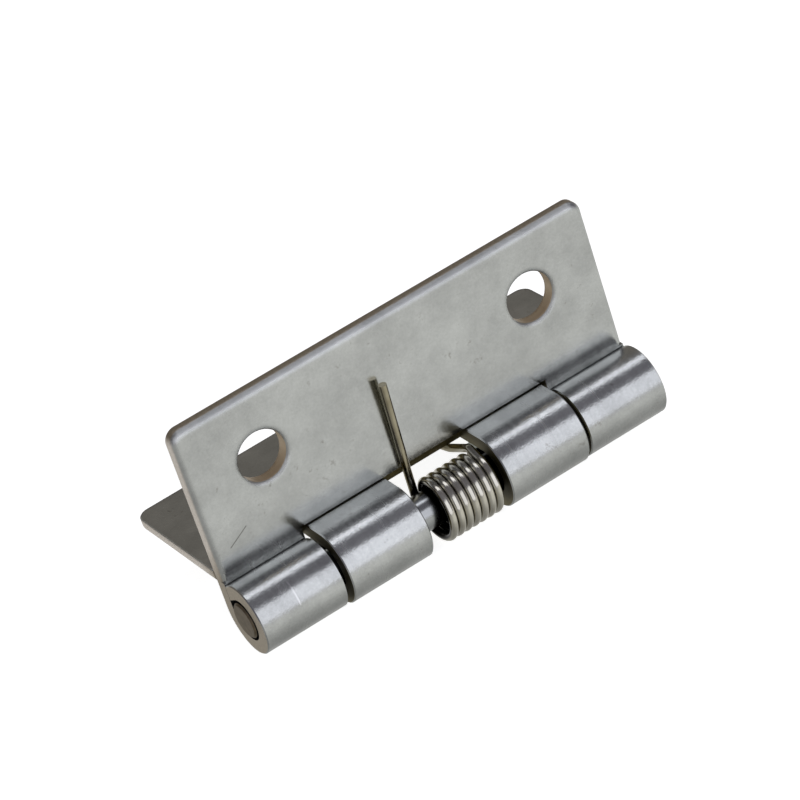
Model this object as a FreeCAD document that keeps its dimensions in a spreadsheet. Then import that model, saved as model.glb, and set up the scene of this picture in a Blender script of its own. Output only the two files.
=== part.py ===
"""Spring loaded door hinge: two stamped leaves curled round one pin, and a torsion spring on the pin.

Frame: X runs along the pin. The front leaf stands up along +Z and the rear leaf lies back along +Y,
which is how the spring holds them. The origin is midway between the front leaf's two screw holes,
on the flat face that goes against the door. All lengths are in millimetres.
"""
import FreeCAD
import Part
import Sketcher
import math
import os

# Driving sizes: name, value, meaning
SIZES = [
    ("hinge_length", 50.0, "length of both leaves along the pin"),
    ("leaf_width", 20.9, "swing axis to the free edge of a leaf"),
    ("sheet_thickness", 1.6, "stainless sheet of both leaves"),
    ("corner_radius", 1.4, "rounded free corners of a leaf"),
    ("hole_diameter", 5.5, "plain screw hole"),
    ("hole_spacing", 33.0, "between the two holes of a leaf, along the pin"),
    ("hole_height", 13.7, "swing axis to the row of holes"),
    ("knuckle_radius", 4.15, "outside of the rear leaf's knuckles, whose middle is the swing axis"),
    ("curl_closing", 0.25, "front knuckles' radius under the rear's, as their curl is closed"),
    ("curl_drop", 0.28, "middle of the front knuckles below the swing axis"),
    ("front_lip_fall", 25.0, "degrees that the end of the front curl slopes down to its leaf"),
    ("front_seam_gap", 0.06, "closed seam between the end of the front curl and its leaf"),
    ("rear_lip_fall", 13.0, "degrees that the end of the rear curl slopes to its leaf"),
    ("rear_seam_gap", 0.8, "open seam between the end of the rear curl and its leaf"),
    ("flat_start", 3.5, "middle of a curl to where its leaf is flat"),
    ("notch_clearance", 0.15, "notch edge of a leaf beyond the other leaf's knuckle"),
    ("knuckle_gap", 0.55, "along the pin, between neighbouring knuckles"),
    ("outer_knuckle_length", 9.75, "each of the front leaf's two knuckles"),
    ("spring_space", 10.0, "along the pin, between the rear leaf's two knuckles"),
    ("rolled_edge", 0.7, "outline rounded by the blanking punch, on the knuckle side"),
    ("hole_rim", 0.2, "bevel that the punch leaves round a hole, on the knuckle side"),
    ("broken_edge", 0.12, "edge broken by tumbling, on the flat side and round the knuckles"),
    ("pin_diameter", 4.0, "plain round pin"),
    ("pin_overhang", 0.2, "pin end beyond the outer knuckle's end face"),
    ("pin_chamfer", 0.2, "broken edge of the pin's ends"),
    ("pin_lean", 45.0, "degrees below the backward direction that the pin lies in its bores"),
    ("rest_gap", 0.05, "left between pieces that rest on each other"),
    ("wire_diameter", 0.9, "round spring wire"),
    ("wire_pitch", 0.95, "from one turn of the coil to the next"),
    ("coil_turns", 7, "turns of the coil, less the angle between its two legs"),
    ("coil_clearance", 0.65, "inside of the coil round the pin, on the radius"),
    ("coil_lean", 10.0, "degrees below the forward direction that the legs push the coil"),
    ("coil_offset", 2.45, "hinge middle to the start of the coil, towards -X"),
    ("leg_reach", 14.4, "swing axis to the tip of a spring leg, along its leaf"),
    ("leg_standoff", 1.0, "tip of a spring leg from its leaf, to the wire's middle"),
    ("leg_tip_shift", 0.25, "tip of the front leg back towards the coil, along the pin"),
    ("leg_bend_radius", 3.0, "bend of a leg where it meets its leaf's edge"),
    ("kick_rise", 15.0, "degrees that the rear leg rises as it leaves the coil"),
    ("kick_run", 2.0, "straight run of the rear leg before it turns to its leaf"),
    ("kick_radius", 0.9, "bend of the rear leg above the coil"),
    ("rear_leg_slant", 8.0, "degrees that the rear leg runs across its leaf"),
]

doc = FreeCAD.newDocument("spring_hinge")
sheet = doc.addObject("Spreadsheet::Sheet", "Sizes")
for row, (name, value, meaning) in enumerate(SIZES, start=1):
    sheet.set("A%d" % row, name)
    sheet.set("B%d" % row, str(value))
    sheet.set("C%d" % row, meaning)
    sheet.setAlias("B%d" % row, name)
doc.recompute()

# Two measured positions closer than this are the same place
SAME_PLACE = 1e-4

# Sizes that several pieces share, worked out from the sheet's cells
NOTCH_EDGE = "(Sizes.knuckle_radius + Sizes.notch_clearance)"
NOTCH_HALF = "(Sizes.hinge_length / 2 - Sizes.outer_knuckle_length)"
INNER_END = "(Sizes.hinge_length / 2 - Sizes.outer_knuckle_length - Sizes.knuckle_gap)"
PIN_PLAY = "(Sizes.knuckle_radius - Sizes.sheet_thickness - Sizes.pin_diameter / 2 - Sizes.rest_gap)"
PIN_BACK = "(%s * cos(Sizes.pin_lean * 1 deg))" % PIN_PLAY
PIN_DROP = "(%s * sin(Sizes.pin_lean * 1 deg))" % PIN_PLAY

# The curl of each leaf: its outside, its middle below the swing axis, and how its lip ends
FRONT_CURL = {
    "radius": "(Sizes.knuckle_radius - Sizes.curl_closing)",
    "drop": "Sizes.curl_drop",
    "fall": "Sizes.front_lip_fall",
    "gap": "Sizes.front_seam_gap",
}
REAR_CURL = {
    "radius": "Sizes.knuckle_radius",
    "drop": "0",
    "fall": "Sizes.rear_lip_fall",
    "gap": "Sizes.rear_seam_gap",
}


def size(name):
    """A cell of the sheet, as a number."""
    return float(sheet.get(name))


def worked_out(expression):
    """An expression of the sheet's cells, as a number."""
    return float(sheet.evalExpression(expression))


def origin_plane(body, role):
    return next(plane for plane in body.Origin.OriginFeatures if plane.Role == role)


def new_sketch(body, role, name):
    sketch = body.newObject("Sketcher::SketchObject", name)
    sketch.AttachmentSupport = (origin_plane(body, role), [""])
    sketch.MapMode = "FlatFace"
    return sketch


def bind(sketch, expression, kind, *place):
    """Adds a dimension to a sketch and ties it to the sheet."""
    value = worked_out(expression)
    if kind == "Angle":
        value = math.radians(value)
        expression = "(%s) * 1 deg" % expression
    index = sketch.addConstraint(Sketcher.Constraint(kind, *place, value))
    sketch.setExpression("Constraints[%d]" % index, expression)


def point(u, v):
    return FreeCAD.Vector(u, v, 0)


def fix_in_hinge_frame(part, curl=REAR_CURL):
    """Moves a piece from the middle of a curl, or the swing axis, to the hinge's own origin."""
    part.setExpression("Placement.Base.y", "-" + curl["radius"])
    part.setExpression("Placement.Base.z", "-Sizes.hole_height - " + curl["drop"])


def curl_sketch(body, curl):
    """Section of a curl: round the pin from the foot of the flat to the lip that closes on it."""
    sketch = new_sketch(body, "YZ_Plane", body.Name + "_curl_section")
    outer = worked_out(curl["radius"])
    inner = outer - size("sheet_thickness")
    foot = size("flat_start")
    fall = math.radians(worked_out(curl["fall"]))
    lip_face = inner - worked_out(curl["gap"])
    start = math.pi / 2 - fall
    axis = point(0, 0)
    up = FreeCAD.Vector(0, 0, 1)

    def leaving(radius):
        """Where the curl turns into the lip, and where the lip ends."""
        root = point(radius * math.cos(start), radius * math.sin(start))
        end = point(lip_face, root.y - (lip_face - root.x) * math.tan(fall))
        return root, end

    outer_root, outer_end = leaving(outer)
    inner_root, inner_end = leaving(inner)
    back = sketch.addGeometry(Part.LineSegment(point(outer, foot), point(outer, 0)))
    outside = sketch.addGeometry(Part.ArcOfCircle(Part.Circle(axis, up, outer), start, 2 * math.pi))
    lip_top = sketch.addGeometry(Part.LineSegment(outer_root, outer_end))
    lip_end = sketch.addGeometry(Part.LineSegment(outer_end, inner_end))
    lip_under = sketch.addGeometry(Part.LineSegment(inner_end, inner_root))
    bore = sketch.addGeometry(Part.ArcOfCircle(Part.Circle(axis, up, inner), start, 2 * math.pi))
    front = sketch.addGeometry(Part.LineSegment(point(inner, 0), point(inner, foot)))
    top = sketch.addGeometry(Part.LineSegment(point(inner, foot), point(outer, foot)))
    rules = [
        ("Tangent", back, 2, outside, 2),
        ("Tangent", outside, 1, lip_top, 1),
        ("Tangent", lip_under, 2, bore, 1),
        ("Tangent", bore, 2, front, 1),
        ("Coincident", lip_top, 2, lip_end, 1),
        ("Coincident", lip_end, 2, lip_under, 1),
        ("Coincident", front, 2, top, 1),
        ("Coincident", top, 2, back, 1),
        ("Coincident", outside, 3, -1, 1),
        ("Coincident", bore, 3, -1, 1),
        ("Vertical", front),
        ("Vertical", lip_end),
        ("Horizontal", top),
    ]
    for rule in rules:
        sketch.addConstraint(Sketcher.Constraint(*rule))
    bind(sketch, curl["radius"], "Radius", outside)
    bind(sketch, curl["radius"] + " - Sizes.sheet_thickness", "Radius", bore)
    bind(sketch, "Sizes.flat_start", "DistanceY", -1, 1, top, 1)
    bind(sketch, "-" + curl["fall"], "Angle", lip_top)
    bind(sketch, curl["gap"], "DistanceX", lip_end, 1, front, 1)
    return sketch


def rectangle(sketch, left, right, bottom, top):
    """A rectangle whose four sides are expressions of the sheet."""
    x0, x1, y0, y1 = (worked_out(side) for side in (left, right, bottom, top))
    corners = [point(x0, y0), point(x1, y0), point(x1, y1), point(x0, y1)]
    lines = [sketch.addGeometry(Part.LineSegment(corners[i], corners[(i + 1) % 4])) for i in range(4)]
    for i in range(4):
        sketch.addConstraint(Sketcher.Constraint("Coincident", lines[i], 2, lines[(i + 1) % 4], 1))
        sketch.addConstraint(Sketcher.Constraint("Horizontal" if i % 2 == 0 else "Vertical", lines[i]))
    bind(sketch, left, "DistanceX", -1, 1, lines[0], 1)
    bind(sketch, right, "DistanceX", -1, 1, lines[1], 1)
    bind(sketch, bottom, "DistanceY", -1, 1, lines[0], 1)
    bind(sketch, top, "DistanceY", -1, 1, lines[2], 1)


def pad_along_pin(body, sketch, name):
    """Draws a section out over the whole length of the hinge."""
    pad = body.newObject("PartDesign::Pad", name)
    pad.Profile = sketch
    pad.SideType = "Symmetric"
    pad.setExpression("Length", "Sizes.hinge_length")
    doc.recompute()
    return pad


def cut_through(body, sketch, name):
    """Cuts a sketch right through the sheet, and makes sure that it took something away."""
    before = body.Shape.Volume
    pocket = body.newObject("PartDesign::Pocket", name)
    pocket.Profile = sketch
    pocket.Type = "ThroughAll"
    pocket.SideType = "Symmetric"
    doc.recompute()
    if body.Shape.Volume >= before:
        raise RuntimeError("%s cuts nothing" % name)
    return pocket


def dress_edges(body, kind, name, base, wanted, amount):
    """Rounds or bevels the edges of the last feature that the test picks."""
    picked = ["Edge%d" % i for i, edge in enumerate(base.Shape.Edges, start=1) if wanted(edge)]
    dressing = body.newObject("PartDesign::" + kind, name)
    dressing.Base = (base, picked)
    dressing.setExpression("Radius" if kind == "Fillet" else "Size", amount)
    doc.recompute()
    return dressing


def close(a, b):
    return abs(a - b) < SAME_PLACE


def leaf(name, curl, notches):
    """One leaf, flat along +Z with its curl round the origin. Notches are spans along the pin."""
    body = doc.addObject("PartDesign::Body", name)
    body.Label = name
    top = "(Sizes.leaf_width + %s)" % curl["drop"]
    hole_row = "(Sizes.hole_height + %s)" % curl["drop"]
    notch_edge = "(%s + %s)" % (NOTCH_EDGE, curl["drop"])
    free_edge = worked_out(top)
    leaf_end = size("hinge_length") / 2
    knuckle = worked_out(curl["radius"])
    front_face = knuckle - size("sheet_thickness")

    def free_corner(edge):
        middle = edge.BoundBox.Center
        at_corner = close(abs(middle.x), leaf_end) and close(middle.z, free_edge)
        return at_corner and close(edge.BoundBox.XLength, 0)

    def punched(edge):
        """Outline and hole rims on the knuckle side, but not the notches."""
        box = edge.BoundBox
        on_face = close(box.YMin, front_face) and close(box.YMax, front_face)
        return on_face and box.ZMax > size("hole_height")

    def outline(edge):
        return punched(edge) and not edge.Closed

    def rim(edge):
        return punched(edge) and edge.Closed

    def outside(edge):
        """Ends of the flat side and of the curl's outside."""
        if not close(edge.BoundBox.XLength, 0):
            return False
        first, last = edge.ParameterRange
        middle = edge.valueAt((first + last) / 2)
        flat = close(middle.y, knuckle) and middle.z > 0
        return flat or close(math.hypot(middle.y, middle.z), knuckle)

    # The flat is blanked first, so that its rolled edge ends where the curl begins
    flat_sketch = new_sketch(body, "YZ_Plane", name + "_flat_section")
    inside = "(%s - Sizes.sheet_thickness)" % curl["radius"]
    rectangle(flat_sketch, inside, curl["radius"], "Sizes.flat_start", top)
    flat = pad_along_pin(body, flat_sketch, name + "_flat")
    corners = dress_edges(body, "Fillet", name + "_corners", flat, free_corner, "Sizes.corner_radius")
    dress_edges(body, "Fillet", name + "_rolled_edges", corners, outline, "Sizes.rolled_edge")
    pad_along_pin(body, curl_sketch(body, curl), name + "_curl")

    notch_sketch = new_sketch(body, "XZ_Plane", name + "_notch_outline")
    for left, right in notches:
        rectangle(notch_sketch, left, right, "-2 * Sizes.knuckle_radius", notch_edge)
    cut_through(body, notch_sketch, name + "_notches")

    hole_sketch = new_sketch(body, "XZ_Plane", name + "_hole_centres")
    for side in (-1, 1):
        centre = point(side * size("hole_spacing") / 2, worked_out(hole_row))
        circle = Part.Circle(centre, FreeCAD.Vector(0, 0, 1), size("hole_diameter") / 2)
        hole = hole_sketch.addGeometry(circle)
        bind(hole_sketch, "%d * Sizes.hole_spacing / 2" % side, "DistanceX", -1, 1, hole, 3)
        bind(hole_sketch, hole_row, "DistanceY", -1, 1, hole, 3)
        bind(hole_sketch, "Sizes.hole_diameter", "Diameter", hole)
    holes = cut_through(body, hole_sketch, name + "_holes")

    rims = dress_edges(body, "Chamfer", name + "_hole_rims", holes, rim, "Sizes.hole_rim")
    dress_edges(body, "Chamfer", name + "_broken_edges", rims, outside, "Sizes.broken_edge")
    fix_in_hinge_frame(body, curl)
    return body


def front_leaf():
    """The leaf that stands up: a knuckle at each end, and one wide notch between them."""
    return leaf("front_leaf", FRONT_CURL, [("-" + NOTCH_HALF, NOTCH_HALF)])


def rear_leaf():
    """The leaf that lies back: two inner knuckles, notched at both ends and for the spring."""
    past_end = "Sizes.hinge_length"
    half_space = "Sizes.spring_space / 2"
    spans = [("-" + past_end, "-" + INNER_END), ("-" + half_space, half_space), (INNER_END, past_end)]
    body = leaf("rear_leaf", REAR_CURL, spans)
    # Half a turn about the diagonal between the two leaves swaps +Z and +Y
    body.Placement.Rotation = FreeCAD.Rotation(FreeCAD.Vector(0, 1, 1), 180)
    return body


def hinge_pin():
    """Plain pin, lying low and to the back in the knuckles' bores."""
    body = doc.addObject("PartDesign::Body", "hinge_pin")
    body.Label = "hinge_pin"
    sketch = new_sketch(body, "YZ_Plane", "pin_section")
    radius = size("pin_diameter") / 2
    middle = point(worked_out(PIN_BACK), -worked_out(PIN_DROP))
    circle = sketch.addGeometry(Part.Circle(middle, FreeCAD.Vector(0, 0, 1), radius))
    bind(sketch, PIN_BACK, "DistanceX", -1, 1, circle, 3)
    bind(sketch, "-" + PIN_DROP, "DistanceY", -1, 1, circle, 3)
    bind(sketch, "Sizes.pin_diameter", "Diameter", circle)
    rod = body.newObject("PartDesign::Pad", "pin_rod")
    rod.Profile = sketch
    rod.SideType = "Symmetric"
    rod.setExpression("Length", "Sizes.hinge_length + 2 * Sizes.pin_overhang")
    doc.recompute()
    ends = body.newObject("PartDesign::Chamfer", "pin_ends")
    rims = [i for i, edge in enumerate(rod.Shape.Edges, start=1) if edge.Closed]
    ends.Base = (rod, ["Edge%d" % i for i in rims])
    ends.setExpression("Size", "Sizes.pin_chamfer")
    fix_in_hinge_frame(body)
    return body


def rounded_path(points, radii):
    """Straight runs through the points, joined by tangent arcs of the given radii."""
    edges = []
    start = points[0]
    for before, corner, after, radius in zip(points, points[1:], points[2:], radii):
        arriving = (corner - before).normalize()
        leaving = (after - corner).normalize()
        turn = arriving.getAngle(leaving)
        setback = radius * math.tan(turn / 2)
        arc_start = corner - arriving * setback
        arc_end = corner + leaving * setback
        inward = (leaving - arriving).normalize()
        middle = corner + inward * (radius / math.cos(turn / 2) - radius)
        edges.append(Part.LineSegment(start, arc_start).toShape())
        edges.append(Part.Arc(arc_start, middle, arc_end).toShape())
        start = arc_end
    edges.append(Part.LineSegment(start, points[-1]).toShape())
    return edges


def torsion_spring():
    """Close-wound coil on the pin. One leg leans on the front leaf, the other on the rear leaf."""
    wire = size("wire_diameter") / 2
    bore = size("knuckle_radius") - size("sheet_thickness")
    notch = size("knuckle_radius") + size("notch_clearance")
    gap = size("rest_gap")
    pin_radius = size("pin_diameter") / 2
    coil_radius = pin_radius + size("coil_clearance") + wire
    lean = math.radians(size("coil_lean"))
    play = size("coil_clearance") - gap
    coil_y = worked_out(PIN_BACK) - play * math.cos(lean)
    coil_z = -worked_out(PIN_DROP) - play * math.sin(lean)

    # Where a leg passes its leaf's notch edge: distance out along the leaf, and short of its face
    touch_out = notch
    touch_in = bore - wire - gap
    tip_out = size("leg_reach")
    tip_in = bore - size("leg_standoff")

    # The front leg leaves the coil along the tangent through its touching point
    to_touch_y = touch_in - coil_y
    to_touch_z = touch_out - coil_z
    start = math.atan2(to_touch_z, to_touch_y) - math.acos(coil_radius / math.hypot(to_touch_y, to_touch_z))
    # The rear leg leaves it just before the top, still rising
    end = math.pi / 2 + math.radians(size("kick_rise"))
    sweep = 2 * math.pi * size("coil_turns") - (end - start)
    rise = size("wire_pitch") / (2 * math.pi)
    start_x = -size("coil_offset")
    end_x = start_x + rise * sweep

    def on_coil(angle, x):
        y = coil_y + coil_radius * math.cos(angle)
        return FreeCAD.Vector(x, y, coil_z + coil_radius * math.sin(angle))

    def along_coil(angle):
        """Direction of the wire, which turns from +Y towards -Z as it moves along +X."""
        tangent = FreeCAD.Vector(rise, coil_radius * math.sin(angle), -coil_radius * math.cos(angle))
        return tangent.normalize()

    front_root = on_coil(start, start_x)
    front_run = along_coil(start)
    front_bend = front_root - front_run * ((touch_out - front_root.z) / -front_run.z)
    front_tip = FreeCAD.Vector(front_bend.x + size("leg_tip_shift"), tip_in, tip_out)
    rear_root = on_coil(end, end_x)
    rear_bend = rear_root + along_coil(end) * size("kick_run")
    slant = math.tan(math.radians(size("rear_leg_slant")))
    rear_touch = FreeCAD.Vector(rear_bend.x - slant * (touch_out - rear_bend.y), touch_out, touch_in)
    rear_tip = FreeCAD.Vector(rear_touch.x - slant * (tip_out - touch_out), tip_out, tip_in)

    bend = size("leg_bend_radius")
    front_leg = rounded_path([front_tip, front_bend, front_root], [bend])
    rear_leg = rounded_path([rear_root, rear_bend, rear_touch, rear_tip], [size("kick_radius"), bend])

    # A helix is made about +Z from +X, so it is turned to run along +X from the front leg's root
    coil = Part.makeHelix(size("wire_pitch"), rise * sweep, coil_radius, 0, True)
    to_pin = FreeCAD.Matrix(0, 0, 1, start_x,
                            math.cos(start), -math.sin(start), 0, coil_y,
                            math.sin(start), math.cos(start), 0, coil_z,
                            0, 0, 0, 1)
    coil.Placement = FreeCAD.Placement(to_pin)
    path = Part.Wire(front_leg + coil.Edges + rear_leg)
    first = front_bend - front_tip
    section = Part.Wire(Part.makeCircle(wire, front_tip, first))
    spring = doc.addObject("Part::Feature", "torsion_spring")
    spring.Label = "torsion_spring"
    spring.Shape = path.makePipeShell([section], True, False)
    fix_in_hinge_frame(spring)
    return spring


pieces = [front_leaf(), rear_leaf(), hinge_pin(), torsion_spring()]
doc.recompute()

for thing in doc.Objects:
    if "Invalid" in thing.State or "Error" in thing.State:
        raise RuntimeError("%s failed" % thing.Name)
for piece in pieces:
    if piece.Shape.isNull() or not piece.Shape.isValid():
        raise RuntimeError("%s has no valid shape" % piece.Label)

os.makedirs("parts", exist_ok=True)
for piece in pieces:
    piece.Shape.exportStep("parts/%s.step" % piece.Label)
    print(piece.Label, "volume", round(piece.Shape.Volume, 2), "mm3")
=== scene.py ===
"""Looks of the spring loaded door hinge: its steels, its wound spring, and a pale table in soft light.

The frame is the hinge's own. X runs along the pin, the front leaf stands up along +Z, and the rear leaf
lies back along +Y. The origin is midway between the front leaf's screw holes, on its flat side.
The hinge's sizes are written in millimetres and turned to metres by MM. The studio's are in metres.
"""
import bpy
import math
from mathutils import Matrix, Vector


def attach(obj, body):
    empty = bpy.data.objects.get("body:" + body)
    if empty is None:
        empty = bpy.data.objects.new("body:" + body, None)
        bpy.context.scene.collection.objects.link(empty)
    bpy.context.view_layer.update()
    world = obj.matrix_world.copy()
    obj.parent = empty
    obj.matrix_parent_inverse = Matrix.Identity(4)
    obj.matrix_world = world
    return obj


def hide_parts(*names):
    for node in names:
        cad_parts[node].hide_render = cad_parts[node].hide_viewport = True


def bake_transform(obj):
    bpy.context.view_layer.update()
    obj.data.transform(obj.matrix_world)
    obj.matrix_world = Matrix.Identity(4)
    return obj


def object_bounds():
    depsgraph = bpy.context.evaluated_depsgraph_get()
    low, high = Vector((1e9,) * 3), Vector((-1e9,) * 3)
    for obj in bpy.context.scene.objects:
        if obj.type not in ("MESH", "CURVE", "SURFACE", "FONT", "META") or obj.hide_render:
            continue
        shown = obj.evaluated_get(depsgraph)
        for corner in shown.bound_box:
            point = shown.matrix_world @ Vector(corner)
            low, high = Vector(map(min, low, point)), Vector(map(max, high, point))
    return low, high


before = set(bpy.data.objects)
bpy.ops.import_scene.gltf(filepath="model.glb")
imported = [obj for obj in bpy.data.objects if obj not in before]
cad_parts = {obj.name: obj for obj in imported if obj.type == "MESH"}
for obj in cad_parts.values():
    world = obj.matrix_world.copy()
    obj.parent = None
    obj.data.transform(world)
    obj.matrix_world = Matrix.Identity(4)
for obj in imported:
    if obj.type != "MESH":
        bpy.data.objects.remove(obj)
cad_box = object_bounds()

MM = 0.001

# Leaves and pin
AXIS_Y, AXIS_Z = -4.15, -13.7     # axis that the rear leaf swings about
KNUCKLE_RADIUS = 4.15
BORE_RADIUS = 2.55
NOTCH_EDGE = 4.3                  # swing axis to the edge of a leaf's notch
HALF_LENGTH = 25.0
HOLE_OFF_MIDDLE = 16.5
HOLE_OUT = 13.7                   # swing axis to the row of holes
PIN_RADIUS = 2.0
PIN_LEAN = math.radians(45)       # below the backward direction, where the pin lies in its bores
REST_GAP = 0.05                   # left between pieces that rest on each other

# Spring
WIRE_RADIUS = 0.45
WIRE_PITCH = 0.95
COIL_TURNS = 7                    # less the angle between the two legs
COIL_OFFSET = 2.45                # hinge middle to the start of the coil
COIL_CLEARANCE = 0.65
COIL_LEAN = math.radians(10)      # below the forward direction, where the legs push the coil
COIL_RADIUS = PIN_RADIUS + COIL_CLEARANCE + WIRE_RADIUS
LEG_REACH = 14.4
LEG_STANDOFF = 1.0
LEG_TIP_SHIFT = 0.25
LEG_BEND_RADIUS = 3.0
KICK_RISE = math.radians(15)
KICK_RUN = 2.0
KICK_RADIUS = 0.9
REAR_LEG_SLANT = math.tan(math.radians(8))
CROP_LENGTH = 0.35                # stretch of a leg's tip that the cutter narrowed
CROP_SHARE = 0.8                  # of the wire's thickness, left at the tip

# Middle of the coil from the swing axis: the pin lies in its bores, and the coil is pushed against it
PIN_PLAY = BORE_RADIUS - PIN_RADIUS - REST_GAP
COIL_PLAY = COIL_CLEARANCE - REST_GAP
COIL_Y = PIN_PLAY * math.cos(PIN_LEAN) - COIL_PLAY * math.cos(COIL_LEAN)
COIL_Z = -PIN_PLAY * math.sin(PIN_LEAN) - COIL_PLAY * math.sin(COIL_LEAN)

# How finely the wire is drawn
STEPS_PER_TURN = 56
STEPS_PER_BEND = 10
WIRE_SIDES = 24

# Patterns of the sheet: how large each is, and how deep those that bend the light
CLOUD_SIZE = 5.0
BLOT_SIZE = 1.3
GRAIN_SIZE, GRAIN_DEPTH = 0.25, 0.012
DENT_SIZE, DENT_DEPTH = 0.8, 0.008
MARK_SPACING, MARK_LENGTH, MARK_DEPTH = 0.5, 7.0, 0.006
ROLL_RADIUS = 0.75                # of the outline, where the punch rolled it over

# Where the kinds of surface on a leaf end
HOLE_MARGIN = 3.0                 # off a hole's middle, round all of its wall
TORN_START, TORN_FULL = -1.0, 3.0  # past the curl, where its ring gives way to the leaf's matte side
END_MARGIN = 1.0                  # in from the hinge's ends, where the oil and painted shade stop
OIL_MARGIN = 0.8                  # past the notch's edge, as far as the oil and painted shade reach
OUTER_SIDE = -1.0                 # in Y, where the front leaf's outer half starts

# Patterns on the pin, and its grease with painted shade
LINE_SPACING, LINE_LENGTH = 0.15, 9.0
CROP_GRAIN, CROP_DEPTH = 0.5, 0.004
GREASE_LEAD, GREASE_FULL = 0.7, 0.1  # starts this far before the coil, and is full this far inside it
GREASE_END = 15.0                 # in X, hidden in the right hand knuckle

# Stain on the wire, and how far out from the coil's middle line its grease and painted shade end and its
# legs begin
STRAW_SIZE = 1.6
WIRE_GREASE_START, WIRE_GREASE_FULL = 0.2, -0.05
LEG_START, LEG_FULL = 0.5, 1.2

# Scratches on the front leaf: a dark one above its left knuckle, and a bright one on the knuckle
SCRATCHES = [{"first": (-22.98, -7.27), "last": (-20.70, -5.97), "width": 0.16, "tone": "#55524C"},
             {"first": (-20.44, -11.0), "last": (-20.40, -13.2), "width": 0.28, "tone": "#D4D5D3"}]

# A Mix node's sockets share their names, so they are found by number
NUMBER_A, NUMBER_B, COLOUR_A, COLOUR_B = 2, 3, 6, 7
MIXED_NUMBER, MIXED_COLOUR = 0, 2


# Small tools

def colour(code):
    """Linear colour of an sRGB hex value."""
    channels = [int(code[i:i + 2], 16) / 255 for i in (1, 3, 5)]
    linear = [c / 12.92 if c <= 0.04045 else ((c + 0.055) / 1.055) ** 2.4 for c in channels]
    return (*linear, 1.0)


def add(tree, kind, inputs=None, **settings):
    """Adds a node with its settings. Each input is a value, or the output that feeds it."""
    made = tree.nodes.new(kind)
    for name, value in settings.items():
        setattr(made, name, value)
    for name, value in (inputs or {}).items():
        if isinstance(value, bpy.types.NodeSocket):
            tree.links.new(value, made.inputs[name])
        else:
            made.inputs[name].default_value = value
    return made


def new_material(name):
    material = bpy.data.materials.new(name)
    material.use_nodes = True
    return material, material.node_tree, material.node_tree.nodes["Principled BSDF"]


# Steels

def leaf_areas(tree, place, along, across, axis_along):
    """Shares of the kinds of surface that a leaf has, at each place on it."""
    spot = add(tree, "ShaderNodeSeparateXYZ", {"Vector": place.outputs["Object"]}).outputs
    facing = add(tree, "ShaderNodeSeparateXYZ", {"Vector": place.outputs["Normal"]}).outputs
    off_middle = add(tree, "ShaderNodeMath", {0: spot["X"]}, operation="ABSOLUTE").outputs[0]
    end_on = add(tree, "ShaderNodeMath", {0: facing["X"]}, operation="ABSOLUTE").outputs[0]
    side_on = add(tree, "ShaderNodeMath", {0: facing[across]}, operation="ABSOLUTE").outputs[0]
    curl_end = axis_along + KNUCKLE_RADIUS
    flat = add(tree, "ShaderNodeMath", {0: spot[along], 1: curl_end * MM},
               operation="GREATER_THAN").outputs[0]

    # Sheared edges: the ends along the pin, and on the flat whatever doesn't face through the sheet
    ends = add(tree, "ShaderNodeMapRange", {"Value": end_on, "From Min": 0.75, "From Max": 0.95}).outputs[0]
    edge_on = add(tree, "ShaderNodeMapRange", {"Value": side_on, "From Min": 0.3,
                                               "From Max": 0.12}).outputs[0]
    flat_edge = add(tree, "ShaderNodeMath", {0: edge_on, 1: flat}, operation="MULTIPLY").outputs[0]
    sheared = add(tree, "ShaderNodeMath", {0: ends, 1: flat_edge}, operation="MAXIMUM").outputs[0]

    # The outline that the punch rolled over turns away from the face
    rolled = add(tree, "ShaderNodeMapRange", {"Value": side_on, "From Min": 0.99,
                                              "From Max": 0.9}).outputs[0]

    # Round the screw holes
    hole_column = add(tree, "ShaderNodeMath", {0: off_middle, 1: HOLE_OFF_MIDDLE * MM, 2: HOLE_MARGIN * MM},
                      operation="COMPARE").outputs[0]
    hole_row = add(tree, "ShaderNodeMath", {0: spot[along], 1: (axis_along + HOLE_OUT) * MM,
                                            2: HOLE_MARGIN * MM}, operation="COMPARE").outputs[0]
    in_hole = add(tree, "ShaderNodeMath", {0: hole_column, 1: hole_row}, operation="MULTIPLY").outputs[0]

    # The leaf's sides and hole walls are matte where the sheet broke away
    up_leaf = add(tree, "ShaderNodeMapRange", {"Value": spot[along],
                                               "From Min": (curl_end + TORN_START) * MM,
                                               "From Max": (curl_end + TORN_FULL) * MM}).outputs[0]
    sides = add(tree, "ShaderNodeMath", {0: ends, 1: up_leaf}, operation="MULTIPLY").outputs[0]
    hole_walls = add(tree, "ShaderNodeMath", {0: flat_edge, 1: in_hole}, operation="MULTIPLY").outputs[0]
    matte = add(tree, "ShaderNodeMath", {0: sides, 1: hole_walls}, operation="MAXIMUM").outputs[0]

    # Oil and painted shade darken the sheared faces between the knuckles and along the notches, where shade
    # falls
    inward = add(tree, "ShaderNodeMath", {0: off_middle, 1: (HALF_LENGTH - END_MARGIN) * MM},
                 operation="LESS_THAN").outputs[0]
    by_pin = add(tree, "ShaderNodeMath", {0: spot[along], 1: (axis_along + NOTCH_EDGE + OIL_MARGIN) * MM},
                 operation="LESS_THAN").outputs[0]
    oily = add(tree, "ShaderNodeMath", {0: inward, 1: by_pin}, operation="MULTIPLY").outputs[0]
    return {"flat": flat, "sheared": sheared, "rolled": rolled, "in_hole": in_hole, "matte": matte,
            "oily": oily}


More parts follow.
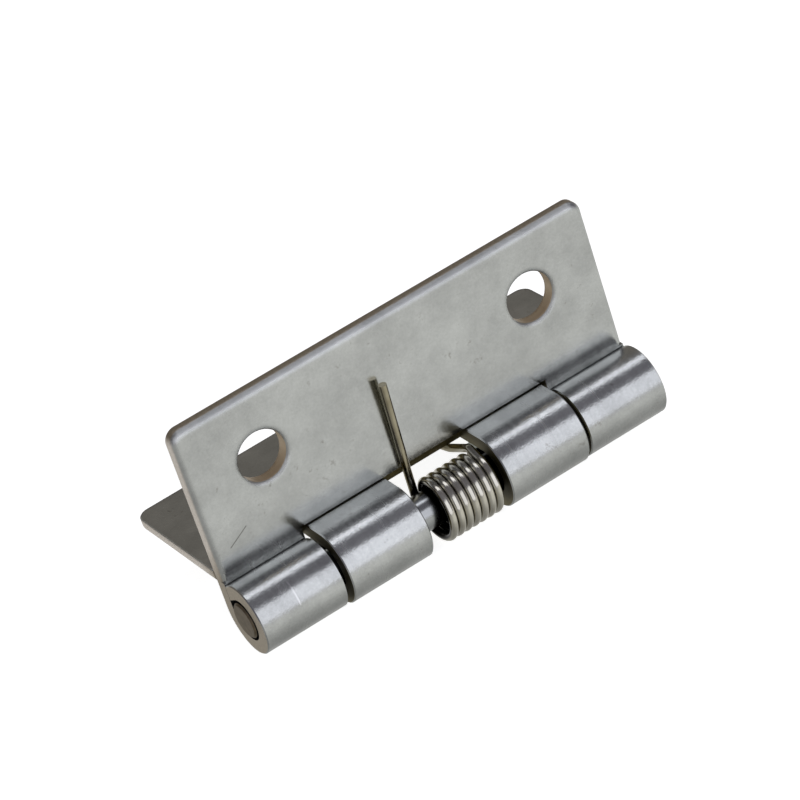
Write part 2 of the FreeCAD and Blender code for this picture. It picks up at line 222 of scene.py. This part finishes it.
def leaf_patterns(tree, spot):
    """Cloudy patches, small ragged stains here and there, pickled grain, shallow dents, and forming marks
    that run round the curl.
    """
    clouds = add(tree, "ShaderNodeTexNoise", {"Vector": spot, "Scale": 1 / (CLOUD_SIZE * MM), "Detail": 6.0,
                                              "Roughness": 0.65})
    blots = add(tree, "ShaderNodeTexNoise", {"Vector": spot, "Scale": 1 / (BLOT_SIZE * MM), "Detail": 4.0,
                                             "Roughness": 0.7})
    stains = add(tree, "ShaderNodeMapRange", {"Value": blots.outputs["Fac"], "From Min": 0.64,
                                              "From Max": 0.8})
    grain = add(tree, "ShaderNodeTexNoise", {"Vector": spot, "Scale": 1 / (GRAIN_SIZE * MM), "Detail": 2.0})
    dents = add(tree, "ShaderNodeTexNoise", {"Vector": spot, "Scale": 1 / (DENT_SIZE * MM), "Detail": 3.0})
    round_curl = 1 / (MARK_LENGTH * MM)
    stretch = add(tree, "ShaderNodeMapping", {"Vector": spot,
                                              "Scale": (1 / (MARK_SPACING * MM), round_curl, round_curl)})
    marks = add(tree, "ShaderNodeTexNoise", {"Vector": stretch.outputs[0], "Scale": 1.0, "Detail": 4.0})
    return {"clouds": clouds.outputs["Fac"], "stains": stains.outputs[0], "grain": grain.outputs["Fac"],
            "dents": dents.outputs["Fac"], "marks": marks.outputs["Fac"]}


def leaf_shade(tree, areas, patterns):
    """Grey sheet with a few dim stains. Sheared edges are tan, paler on the leaf's sides, browner in the
    holes, and dark with oil and painted shade between the knuckles and along the notches.
    """
    mottle = add(tree, "ShaderNodeMix", {"Factor": 0.18, NUMBER_A: patterns["clouds"],
                                         NUMBER_B: patterns["grain"]})
    # The oil tone is painted shade as well as oil: dark olive on the sheared faces between the knuckles
    tones = {"sheet": (mottle.outputs[MIXED_NUMBER], "#898B89", "#DDDFDC"),
             "ring": (patterns["grain"], "#958B7C", "#CDC2AE"),
             "side": (patterns["grain"], "#C2B8AA", "#EAE3D8"),
             "wall": (patterns["clouds"], "#A58D6A", "#D8C9B0"),
             "oil_and_shade_tone": (patterns["clouds"], "#3A3524", "#8C8259")}
    shades = {"stain": colour("#85827B")}
    for name, (pattern, dark, light) in tones.items():
        toned = add(tree, "ShaderNodeMix", {"Factor": pattern, COLOUR_A: colour(dark),
                                            COLOUR_B: colour(light)}, data_type="RGBA")
        shades[name] = toned.outputs[MIXED_COLOUR]

    # Each layer lies over the one below it, where its share says
    layers = [("face", patterns["stains"], "sheet", "stain"),
              ("broken", areas["in_hole"], "side", "wall"),
              ("torn", areas["matte"], "ring", "broken"),
              ("edge", areas["oily"], "torn", "oil_and_shade_tone"),
              ("leaf", areas["sheared"], "face", "edge")]
    for name, share, below, above in layers:
        layer = add(tree, "ShaderNodeMix", {"Factor": share, COLOUR_A: shades[below],
                                            COLOUR_B: shades[above]}, data_type="RGBA")
        shades[name] = layer.outputs[MIXED_COLOUR]
    return shades["leaf"]


def scratch(tree, spot, shade, first, last, width, tone):
    """The shade with a straight scratch on the front leaf's outer side. Its ends are along the pin and up
    the leaf.
    """
    start = Vector((first[0], 0, first[1])) * MM
    run = Vector((last[0], 0, last[1])) * MM - start
    level = add(tree, "ShaderNodeVectorMath", {0: spot, 1: (1, 0, 1)}, operation="MULTIPLY")
    offset = add(tree, "ShaderNodeVectorMath", {0: level.outputs[0], 1: start}, operation="SUBTRACT")
    share = add(tree, "ShaderNodeVectorMath", {0: offset.outputs[0], 1: run / run.length_squared},
                operation="DOT_PRODUCT")
    held = add(tree, "ShaderNodeClamp", {"Value": share.outputs["Value"]})
    nearest = add(tree, "ShaderNodeVectorMath", {0: run, "Scale": held.outputs[0]}, operation="SCALE")
    miss = add(tree, "ShaderNodeVectorMath", {0: offset.outputs[0], 1: nearest.outputs[0]},
               operation="DISTANCE")
    cut = add(tree, "ShaderNodeMapRange", {"Value": miss.outputs["Value"], "From Min": width / 2 * MM,
                                           "From Max": 0.0})
    depth = add(tree, "ShaderNodeSeparateXYZ", {"Vector": spot})
    outer = add(tree, "ShaderNodeMath", {0: depth.outputs["Y"], 1: OUTER_SIDE * MM}, operation="LESS_THAN")
    shown = add(tree, "ShaderNodeMath", {0: cut.outputs[0], 1: outer.outputs[0]}, operation="MULTIPLY")
    scratched = add(tree, "ShaderNodeMix", {"Factor": shown.outputs[0], COLOUR_A: shade,
                                            COLOUR_B: colour(tone)}, data_type="RGBA")
    return scratched.outputs[MIXED_COLOUR]


def leaf_roughness(tree, areas, patterns):
    """Silky on the flat, a little duller round the curl and along the outline, and dull where sheared."""
    flat = add(tree, "ShaderNodeMapRange", {"Value": patterns["clouds"], "From Min": 0.3, "From Max": 0.7,
                                            "To Min": 0.17, "To Max": 0.25})
    curl = add(tree, "ShaderNodeMapRange", {"Value": patterns["marks"], "From Min": 0.3, "From Max": 0.7,
                                            "To Min": 0.2, "To Max": 0.28})
    rolled = add(tree, "ShaderNodeMix", {"Factor": areas["rolled"], NUMBER_A: flat.outputs[0],
                                         NUMBER_B: 0.28})
    face = add(tree, "ShaderNodeMix", {"Factor": areas["flat"], NUMBER_A: curl.outputs[0],
                                       NUMBER_B: rolled.outputs[MIXED_NUMBER]})
    whole = add(tree, "ShaderNodeMix", {"Factor": areas["sheared"], NUMBER_A: face.outputs[MIXED_NUMBER],
                                        NUMBER_B: 0.45})
    return whole.outputs[MIXED_NUMBER]


def leaf_relief(tree, areas, patterns):
    """Light rolls softly over the outline of the flat, and breaks up on grain, dents and forming marks."""
    roll = add(tree, "ShaderNodeMath", {0: areas["flat"], 1: ROLL_RADIUS * MM}, operation="MULTIPLY")
    soft = add(tree, "ShaderNodeBevel", {"Radius": roll.outputs[0]}, samples=4)
    # The strain of curling raises the grain
    raised = add(tree, "ShaderNodeMapRange", {"Value": areas["flat"], "To Min": 1.0, "To Max": 0.25})
    grainy = add(tree, "ShaderNodeBump", {"Height": patterns["grain"], "Normal": soft.outputs[0],
                                          "Strength": raised.outputs[0], "Distance": GRAIN_DEPTH * MM})
    dented = add(tree, "ShaderNodeBump", {"Height": patterns["dents"], "Normal": grainy.outputs[0],
                                          "Strength": 1.0, "Distance": DENT_DEPTH * MM})
    marked = add(tree, "ShaderNodeBump", {"Height": patterns["marks"], "Normal": dented.outputs[0],
                                          "Strength": 1.0, "Distance": MARK_DEPTH * MM})
    return marked.outputs[0]


def leaf_steel(name, along, across, axis_along, scratches=()):
    """Cold rolled stainless sheet, skin passed: a grey, silky gloss with cloudy patches and a few dim
    stains, fine marks left by forming round the curl, and tan, torn looking sheared edges that are dark
    with oil and painted shade between the knuckles.

    along and across are the object axes along the leaf and through the sheet. axis_along is the swing
    axis's place along the leaf.
    """
    material, tree, shader = new_material(name)
    place = add(tree, "ShaderNodeTexCoord")
    spot = place.outputs["Object"]
    areas = leaf_areas(tree, place, along, across, axis_along)
    patterns = leaf_patterns(tree, spot)
    shade = leaf_shade(tree, areas, patterns)
    for line in scratches:
        shade = scratch(tree, spot, shade, **line)
    metal = add(tree, "ShaderNodeMapRange", {"Value": areas["matte"], "To Min": 1.0, "To Max": 0.5})
    tree.links.new(shade, shader.inputs["Base Color"])
    tree.links.new(metal.outputs[0], shader.inputs["Metallic"])
    tree.links.new(leaf_roughness(tree, areas, patterns), shader.inputs["Roughness"])
    tree.links.new(leaf_relief(tree, areas, patterns), shader.inputs["Normal"])
    return material


def pin_steel():
    """Drawn steel rod: satin and grey along its length, black with grease and painted shade inside the coil,
    and with brown cropped ends.
    """
    material, tree, shader = new_material("drawn_rod_steel")
    place = add(tree, "ShaderNodeTexCoord")
    spot = place.outputs["Object"]
    along = add(tree, "ShaderNodeSeparateXYZ", {"Vector": spot}).outputs["X"]
    facing = add(tree, "ShaderNodeSeparateXYZ", {"Vector": place.outputs["Normal"]})
    end_on = add(tree, "ShaderNodeMath", {0: facing.outputs["X"]}, operation="ABSOLUTE")
    ends = add(tree, "ShaderNodeMapRange", {"Value": end_on.outputs[0], "From Min": 0.55, "From Max": 0.7})
    # Grease and painted shade start just before the coil and lie on the rod as far as the right hand knuckle
    into_coil = add(tree, "ShaderNodeMapRange", {"Value": along,
                                                 "From Min": -(COIL_OFFSET + GREASE_LEAD) * MM,
                                                 "From Max": -(COIL_OFFSET - GREASE_FULL) * MM})
    up_to_end = add(tree, "ShaderNodeMath", {0: along, 1: GREASE_END * MM}, operation="LESS_THAN")
    greasy = add(tree, "ShaderNodeMath", {0: into_coil.outputs[0], 1: up_to_end.outputs[0]},
                 operation="MULTIPLY")
    # Drawing lines run along the rod
    around = 1 / (LINE_SPACING * MM)
    stretch = add(tree, "ShaderNodeMapping", {"Vector": spot,
                                              "Scale": (1 / (LINE_LENGTH * MM), around, around)})
    lines = add(tree, "ShaderNodeTexNoise", {"Vector": stretch.outputs[0], "Scale": 1.0, "Detail": 2.0})
    crop = add(tree, "ShaderNodeTexNoise", {"Vector": spot, "Scale": 1 / (CROP_GRAIN * MM), "Detail": 4.0})
    rod = add(tree, "ShaderNodeMix", {"Factor": lines.outputs["Fac"], COLOUR_A: colour("#989A9A"),
                                      COLOUR_B: colour("#B2B4B3")}, data_type="RGBA")
    greased = add(tree, "ShaderNodeMix", {"Factor": greasy.outputs[0], COLOUR_A: rod.outputs[MIXED_COLOUR],
                                          COLOUR_B: colour("#17150F")}, data_type="RGBA")
    brown = add(tree, "ShaderNodeMix", {"Factor": crop.outputs["Fac"], COLOUR_A: colour("#5E5345"),
                                        COLOUR_B: colour("#8F836D")}, data_type="RGBA")
    shade = add(tree, "ShaderNodeMix", {"Factor": ends.outputs[0], COLOUR_A: greased.outputs[MIXED_COLOUR],
                                        COLOUR_B: brown.outputs[MIXED_COLOUR]}, data_type="RGBA")
    rough = add(tree, "ShaderNodeMix", {"Factor": ends.outputs[0], NUMBER_A: 0.22, NUMBER_B: 0.5})
    torn = add(tree, "ShaderNodeBump", {"Height": crop.outputs["Fac"], "Strength": 1.0,
                                        "Distance": CROP_DEPTH * MM})
    tree.links.new(shade.outputs[MIXED_COLOUR], shader.inputs["Base Color"])
    tree.links.new(rough.outputs[MIXED_NUMBER], shader.inputs["Roughness"])
    tree.links.new(torn.outputs[0], shader.inputs["Normal"])
    shader.inputs["Metallic"].default_value = 1.0
    return material


def spring_steel():
    """Drawn stainless spring wire: bright outside with a faint straw stain from stress relieving, browner
    along the legs, and black with grease and painted shade inside the coil. It follows the wire's unwound
    place, so that it turns with the wire.
    """
    material, tree, shader = new_material("bright_spring_wire")
    spot = add(tree, "ShaderNodeAttribute", attribute_name="wound_place").outputs["Vector"]
    coil_middle = Vector((0, AXIS_Y + COIL_Y, AXIS_Z + COIL_Z)) * MM
    from_coil = add(tree, "ShaderNodeVectorMath", {0: spot, 1: coil_middle}, operation="SUBTRACT")
    spoke = add(tree, "ShaderNodeVectorMath", {0: from_coil.outputs[0], 1: (0, 1, 1)}, operation="MULTIPLY")
    reach = add(tree, "ShaderNodeVectorMath", {0: spoke.outputs[0]}, operation="LENGTH").outputs["Value"]
    # The wire's inner side, inside the coil, is painted black: painted shade as well as grease
    greasy = add(tree, "ShaderNodeMapRange", {"Value": reach,
                                              "From Min": (COIL_RADIUS + WIRE_GREASE_START) * MM,
                                              "From Max": (COIL_RADIUS + WIRE_GREASE_FULL) * MM})
    on_leg = add(tree, "ShaderNodeMapRange", {"Value": reach, "From Min": (COIL_RADIUS + LEG_START) * MM,
                                              "From Max": (COIL_RADIUS + LEG_FULL) * MM})
    stain = add(tree, "ShaderNodeTexNoise", {"Vector": spot, "Scale": 1 / (STRAW_SIZE * MM), "Detail": 3.0})
    bright = add(tree, "ShaderNodeMix", {"Factor": stain.outputs["Fac"], COLOUR_A: colour("#ABA698"),
                                         COLOUR_B: colour("#D6D4C9")}, data_type="RGBA")
    straw = add(tree, "ShaderNodeMix", {"Factor": stain.outputs["Fac"], COLOUR_A: colour("#7E765E"),
                                        COLOUR_B: colour("#BBB49C")}, data_type="RGBA")
    clean = add(tree, "ShaderNodeMix", {"Factor": on_leg.outputs[0], COLOUR_A: bright.outputs[MIXED_COLOUR],
                                        COLOUR_B: straw.outputs[MIXED_COLOUR]}, data_type="RGBA")
    shade = add(tree, "ShaderNodeMix", {"Factor": greasy.outputs[0], COLOUR_A: clean.outputs[MIXED_COLOUR],
                                        COLOUR_B: colour("#15130E")}, data_type="RGBA")
    rough = add(tree, "ShaderNodeMapRange", {"Value": stain.outputs["Fac"], "From Min": 0.3, "From Max": 0.7,
                                             "To Min": 0.12, "To Max": 0.2})
    tree.links.new(shade.outputs[MIXED_COLOUR], shader.inputs["Base Color"])
    tree.links.new(rough.outputs[0], shader.inputs["Roughness"])
    shader.inputs["Metallic"].default_value = 1.0
    return material


# Spring

def rounded_run(points, radii):
    """Points along straight runs whose corners are rounded to the given radii."""
    run = [points[0]]
    for before, corner, after, radius in zip(points, points[1:], points[2:], radii):
        arriving = (corner - before).normalized()
        leaving = (after - corner).normalized()
        turn = arriving.angle(leaving)
        centre = corner + (leaving - arriving).normalized() * (radius / math.cos(turn / 2))
        first = corner - arriving * radius * math.tan(turn / 2) - centre
        axis = arriving.cross(leaving).normalized()
        for step in range(STEPS_PER_BEND + 1):
            run.append(centre + Matrix.Rotation(turn * step / STEPS_PER_BEND, 3, axis) @ first)
    return run + [points[-1]]


def spring_paths():
    """The wire's middle line from the swing axis: the front leg with the coil, and the rear leg from its
    tip. The coil's two ends along the pin come with them.
    """
    touch = BORE_RADIUS - WIRE_RADIUS - REST_GAP
    tip = BORE_RADIUS - LEG_STANDOFF
    reach_y, reach_z = touch - COIL_Y, NOTCH_EDGE - COIL_Z
    start = math.atan2(reach_z, reach_y) - math.acos(COIL_RADIUS / math.hypot(reach_y, reach_z))
    end = math.pi / 2 + KICK_RISE
    sweep = 2 * math.pi * COIL_TURNS - (end - start)
    rise = WIRE_PITCH / (2 * math.pi)

    def on_coil(turned):
        angle = start - turned
        return Vector((rise * turned - COIL_OFFSET, COIL_Y + COIL_RADIUS * math.cos(angle),
                       COIL_Z + COIL_RADIUS * math.sin(angle)))

    def along_coil(angle):
        return Vector((rise, COIL_RADIUS * math.sin(angle), -COIL_RADIUS * math.cos(angle))).normalized()

    root = on_coil(0)
    run = along_coil(start)
    bend = root - run * ((NOTCH_EDGE - root.z) / -run.z)
    front_tip = Vector((bend.x + LEG_TIP_SHIFT, tip, LEG_REACH))
    steps = round(STEPS_PER_TURN * sweep / (2 * math.pi))
    coil = [on_coil(sweep * step / steps) for step in range(1, steps + 1)]
    front = rounded_run([front_tip, bend, root], [LEG_BEND_RADIUS]) + coil

    rear_root = on_coil(sweep)
    kick = rear_root + along_coil(end) * KICK_RUN
    rear_touch = Vector((kick.x - REAR_LEG_SLANT * (NOTCH_EDGE - kick.y), NOTCH_EDGE, touch))
    rear_tip = Vector((rear_touch.x - REAR_LEG_SLANT * (LEG_REACH - NOTCH_EDGE), LEG_REACH, tip))
    rear = rounded_run([rear_tip, rear_touch, kick, rear_root], [LEG_BEND_RADIUS, KICK_RADIUS])
    return front, rear, root.x, rear_root.x


def wire_tree(material):
    """Geometry nodes that draw round wire along a path, with its first end cropped by a cutter."""
    tree = bpy.data.node_groups.new("Wire along a path", "GeometryNodeTree")
    kinds = {"Path": "Geometry", "Wire radius": "Float", "Sides": "Int", "Crop length": "Float",
             "Crop share": "Float"}
    sockets = {}
    for name, kind in kinds.items():
        sockets[name] = tree.interface.new_socket(name, in_out="INPUT", socket_type="NodeSocket" + kind)
    tree.interface.new_socket("Wire", in_out="OUTPUT", socket_type="NodeSocketGeometry")
    given = add(tree, "NodeGroupInput").outputs
    line = add(tree, "GeometryNodeMeshToCurve", {"Mesh": given["Path"]})
    travelled = add(tree, "GeometryNodeSplineParameter")
    cropped = add(tree, "ShaderNodeMapRange", {"Value": travelled.outputs["Length"], "From Min": 0.0,
                                               "From Max": given["Crop length"],
                                               "To Min": given["Crop share"], "To Max": 1.0},
                  interpolation_type="SMOOTHSTEP")
    sized = add(tree, "GeometryNodeSetCurveRadius", {"Curve": line.outputs[0], "Radius": cropped.outputs[0]})
    ring = add(tree, "GeometryNodeCurvePrimitiveCircle", {"Resolution": given["Sides"],
                                                          "Radius": given["Wire radius"]})
    wire = add(tree, "GeometryNodeCurveToMesh", {"Curve": sized.outputs[0], "Profile Curve": ring.outputs[0],
                                                 "Fill Caps": True})
    where = add(tree, "GeometryNodeInputPosition")
    placed = add(tree, "GeometryNodeStoreNamedAttribute", {"Geometry": wire.outputs[0],
                                                           "Name": "wound_place",
                                                           "Value": where.outputs[0]},
                 data_type="FLOAT_VECTOR", domain="POINT")
    whole = add(tree, "GeometryNodeRealizeInstances", {"Geometry": placed.outputs[0]})
    finished = add(tree, "GeometryNodeSetMaterial", {"Geometry": whole.outputs[0], "Material": material})
    add(tree, "NodeGroupOutput", {"Wire": finished.outputs[0]})
    return tree, sockets


def wire_piece(name, path, tree, sockets):
    """A piece of wire along a path, made a plain mesh in the hinge's frame."""
    axis = Vector((0, AXIS_Y, AXIS_Z))
    line = bpy.data.meshes.new(name + "_path")
    line.from_pydata([(point + axis) * MM for point in path], [(i, i + 1) for i in range(len(path) - 1)], [])
    holder = bpy.data.objects.new(name + "_path", line)
    bpy.context.scene.collection.objects.link(holder)
    maker = holder.modifiers.new("wire", "NODES")
    maker.node_group = tree
    sizes = {"Wire radius": WIRE_RADIUS * MM, "Sides": WIRE_SIDES, "Crop length": CROP_LENGTH * MM,
             "Crop share": CROP_SHARE}
    for size, value in sizes.items():
        maker[sockets[size].identifier] = value
    bpy.context.view_layer.update()
    drawn = holder.evaluated_get(bpy.context.evaluated_depsgraph_get())
    mesh = bpy.data.meshes.new_from_object(drawn)
    mesh.name = name
    piece = bpy.data.objects.new(name, mesh)
    bpy.context.scene.collection.objects.link(piece)
    bpy.data.objects.remove(holder)
    # The wire is smooth, and only its two ends are flat
    for face in mesh.polygons:
        face.use_smooth = len(face.vertices) == 4
    return piece


def build_spring():
    """The coil turns with the rear leaf at its right end and stays with the front leaf at its left end."""
    front, rear, first_x, last_x = spring_paths()
    tree, sockets = wire_tree(spring_steel())
    coil = wire_piece("spring_coil", front, tree, sockets)
    leg = wire_piece("spring_rear_leg", rear, tree, sockets)
    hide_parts("torsion_spring")
    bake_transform(coil)
    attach(leg, "rear")


# Table, light and camera

def table():
    """White acrylic sheet, lit from below so that it is nearly white and shadows stay faint. The steel
    reflects the room instead of it, as the hinge was photographed above its background.
    """
    material, tree, shader = new_material("white_acrylic_table")
    shader.inputs["Base Color"].default_value = colour("#F4F4F2")
    shader.inputs["Roughness"].default_value = 0.6
    shader.inputs["Emission Color"].default_value = colour("#FFFFFF")
    shader.inputs["Emission Strength"].default_value = 0.8
    half = 3.0
    low = cad_box[0][2]
    mesh = bpy.data.meshes.new("table")
    mesh.from_pydata([(-half, -half, low), (half, -half, low), (half, half, low), (-half, half, low)], [],
                     [(0, 1, 2, 3)])
    mesh.materials.append(material)
    top = bpy.data.objects.new("table", mesh)
    bpy.context.scene.collection.objects.link(top)
    top.visible_glossy = False


def softbox(name, back, distance, left, right, depth, radiance):
    """A softbox above the hinge, from left to right along the pin. back is degrees from straight up, away
    from the camera's side.
    """
    width = right - left
    light = bpy.data.lights.new(name, "AREA")
    light.shape = "RECTANGLE"
    light.size = width
    light.size_y = depth
    light.energy = radiance * math.pi * width * depth
    light.color = colour("#F4F6FF")[:3]
    lamp = bpy.data.objects.new(name, light)
    lean = math.radians(back)
    lamp.location = ((left + right) / 2, distance * math.sin(lean), distance * math.cos(lean))
    lamp.rotation_euler = (-lean, 0, 0)
    lamp.visible_camera = False
    bpy.context.scene.collection.objects.link(lamp)


def room():
    """A dim room, cool in front and warm behind. Its ground is pale, and darker straight below and to the
    left.
    """
    world = bpy.data.worlds.new("dim_room")
    world.use_nodes = True
    tree = world.node_tree
    place = add(tree, "ShaderNodeTexCoord")
    way = add(tree, "ShaderNodeSeparateXYZ", {"Vector": place.outputs["Generated"]}).outputs
    below = add(tree, "ShaderNodeMapRange", {"Value": way["Z"], "From Min": 0.02, "From Max": -0.2})
    ground = add(tree, "ShaderNodeMapRange", {"Value": way["Z"], "From Min": -0.45, "From Max": -1.0,
                                              "To Min": 0.98, "To Max": 0.42})
    left = add(tree, "ShaderNodeMapRange", {"Value": way["X"], "From Min": -0.7, "From Max": 0.1,
                                            "To Min": 0.5})
    shaded = add(tree, "ShaderNodeMath", {0: ground.outputs[0], 1: left.outputs[0]}, operation="MULTIPLY")
    bright = add(tree, "ShaderNodeMix", {"Factor": below.outputs[0], NUMBER_A: 0.22,
                                         NUMBER_B: shaded.outputs[0]})
    behind = add(tree, "ShaderNodeMapRange", {"Value": way["Y"], "From Min": 0.0, "From Max": 0.6})
    walls = add(tree, "ShaderNodeMix", {"Factor": behind.outputs[0], COLOUR_A: colour("#ECE9F8"),
                                        COLOUR_B: colour("#F6EEE4")}, data_type="RGBA")
    whole = add(tree, "ShaderNodeMix", {"Factor": below.outputs[0], COLOUR_A: walls.outputs[MIXED_COLOUR],
                                        COLOUR_B: colour("#F3F3F1")}, data_type="RGBA")
    sky = tree.nodes["Background"]
    tree.links.new(whole.outputs[MIXED_COLOUR], sky.inputs["Color"])
    tree.links.new(bright.outputs[MIXED_NUMBER], sky.inputs["Strength"])
    bpy.context.scene.world = world


def studio():
    """A long strip overhead and a panel in front, in a dim room."""
    softbox("overhead_strip", back=2, distance=0.6, left=-0.2, right=0.6, depth=0.18, radiance=1.6)
    softbox("front_panel", back=-72, distance=0.9, left=-1.0, right=0.7, depth=0.8, radiance=1.25)
    room()
    bpy.context.scene.view_settings.view_transform = "Standard"


def camera():
    """Long lens at the photograph's viewing angle, rolled as the hinge is turned in its frame."""
    azimuth, elevation, roll = (math.radians(angle) for angle in (22.987, 29.855, -18.850))
    aim = Vector((0.736, 1.800, -4.661)) * MM
    distance = 396 * MM
    forward = Vector((math.sin(azimuth) * math.cos(elevation), math.cos(azimuth) * math.cos(elevation),
                      -math.sin(elevation)))
    level = forward.cross(Vector((0, 0, 1))).normalized()
    right = Matrix.Rotation(-roll, 3, forward) @ level
    up = right.cross(forward)
    turn = Matrix((right, up, -forward)).transposed()
    data = bpy.data.cameras.new("camera")
    data.sensor_width = 36
    data.lens = 176.27
    data.clip_start = 0.01
    eye = bpy.data.objects.new("camera", data)
    eye.matrix_world = Matrix.Translation(aim - forward * distance) @ turn.to_4x4()
    bpy.context.scene.collection.objects.link(eye)
    bpy.context.scene.camera = eye


def dress(node, material):
    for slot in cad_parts[node].material_slots:
        slot.material = material


dress("front_leaf", leaf_steel("mill_stainless_front", "Z", "Y", AXIS_Z, SCRATCHES))
dress("rear_leaf", leaf_steel("mill_stainless_rear", "Y", "Z", AXIS_Y))
dress("hinge_pin", pin_steel())
build_spring()
table()
studio()
camera()
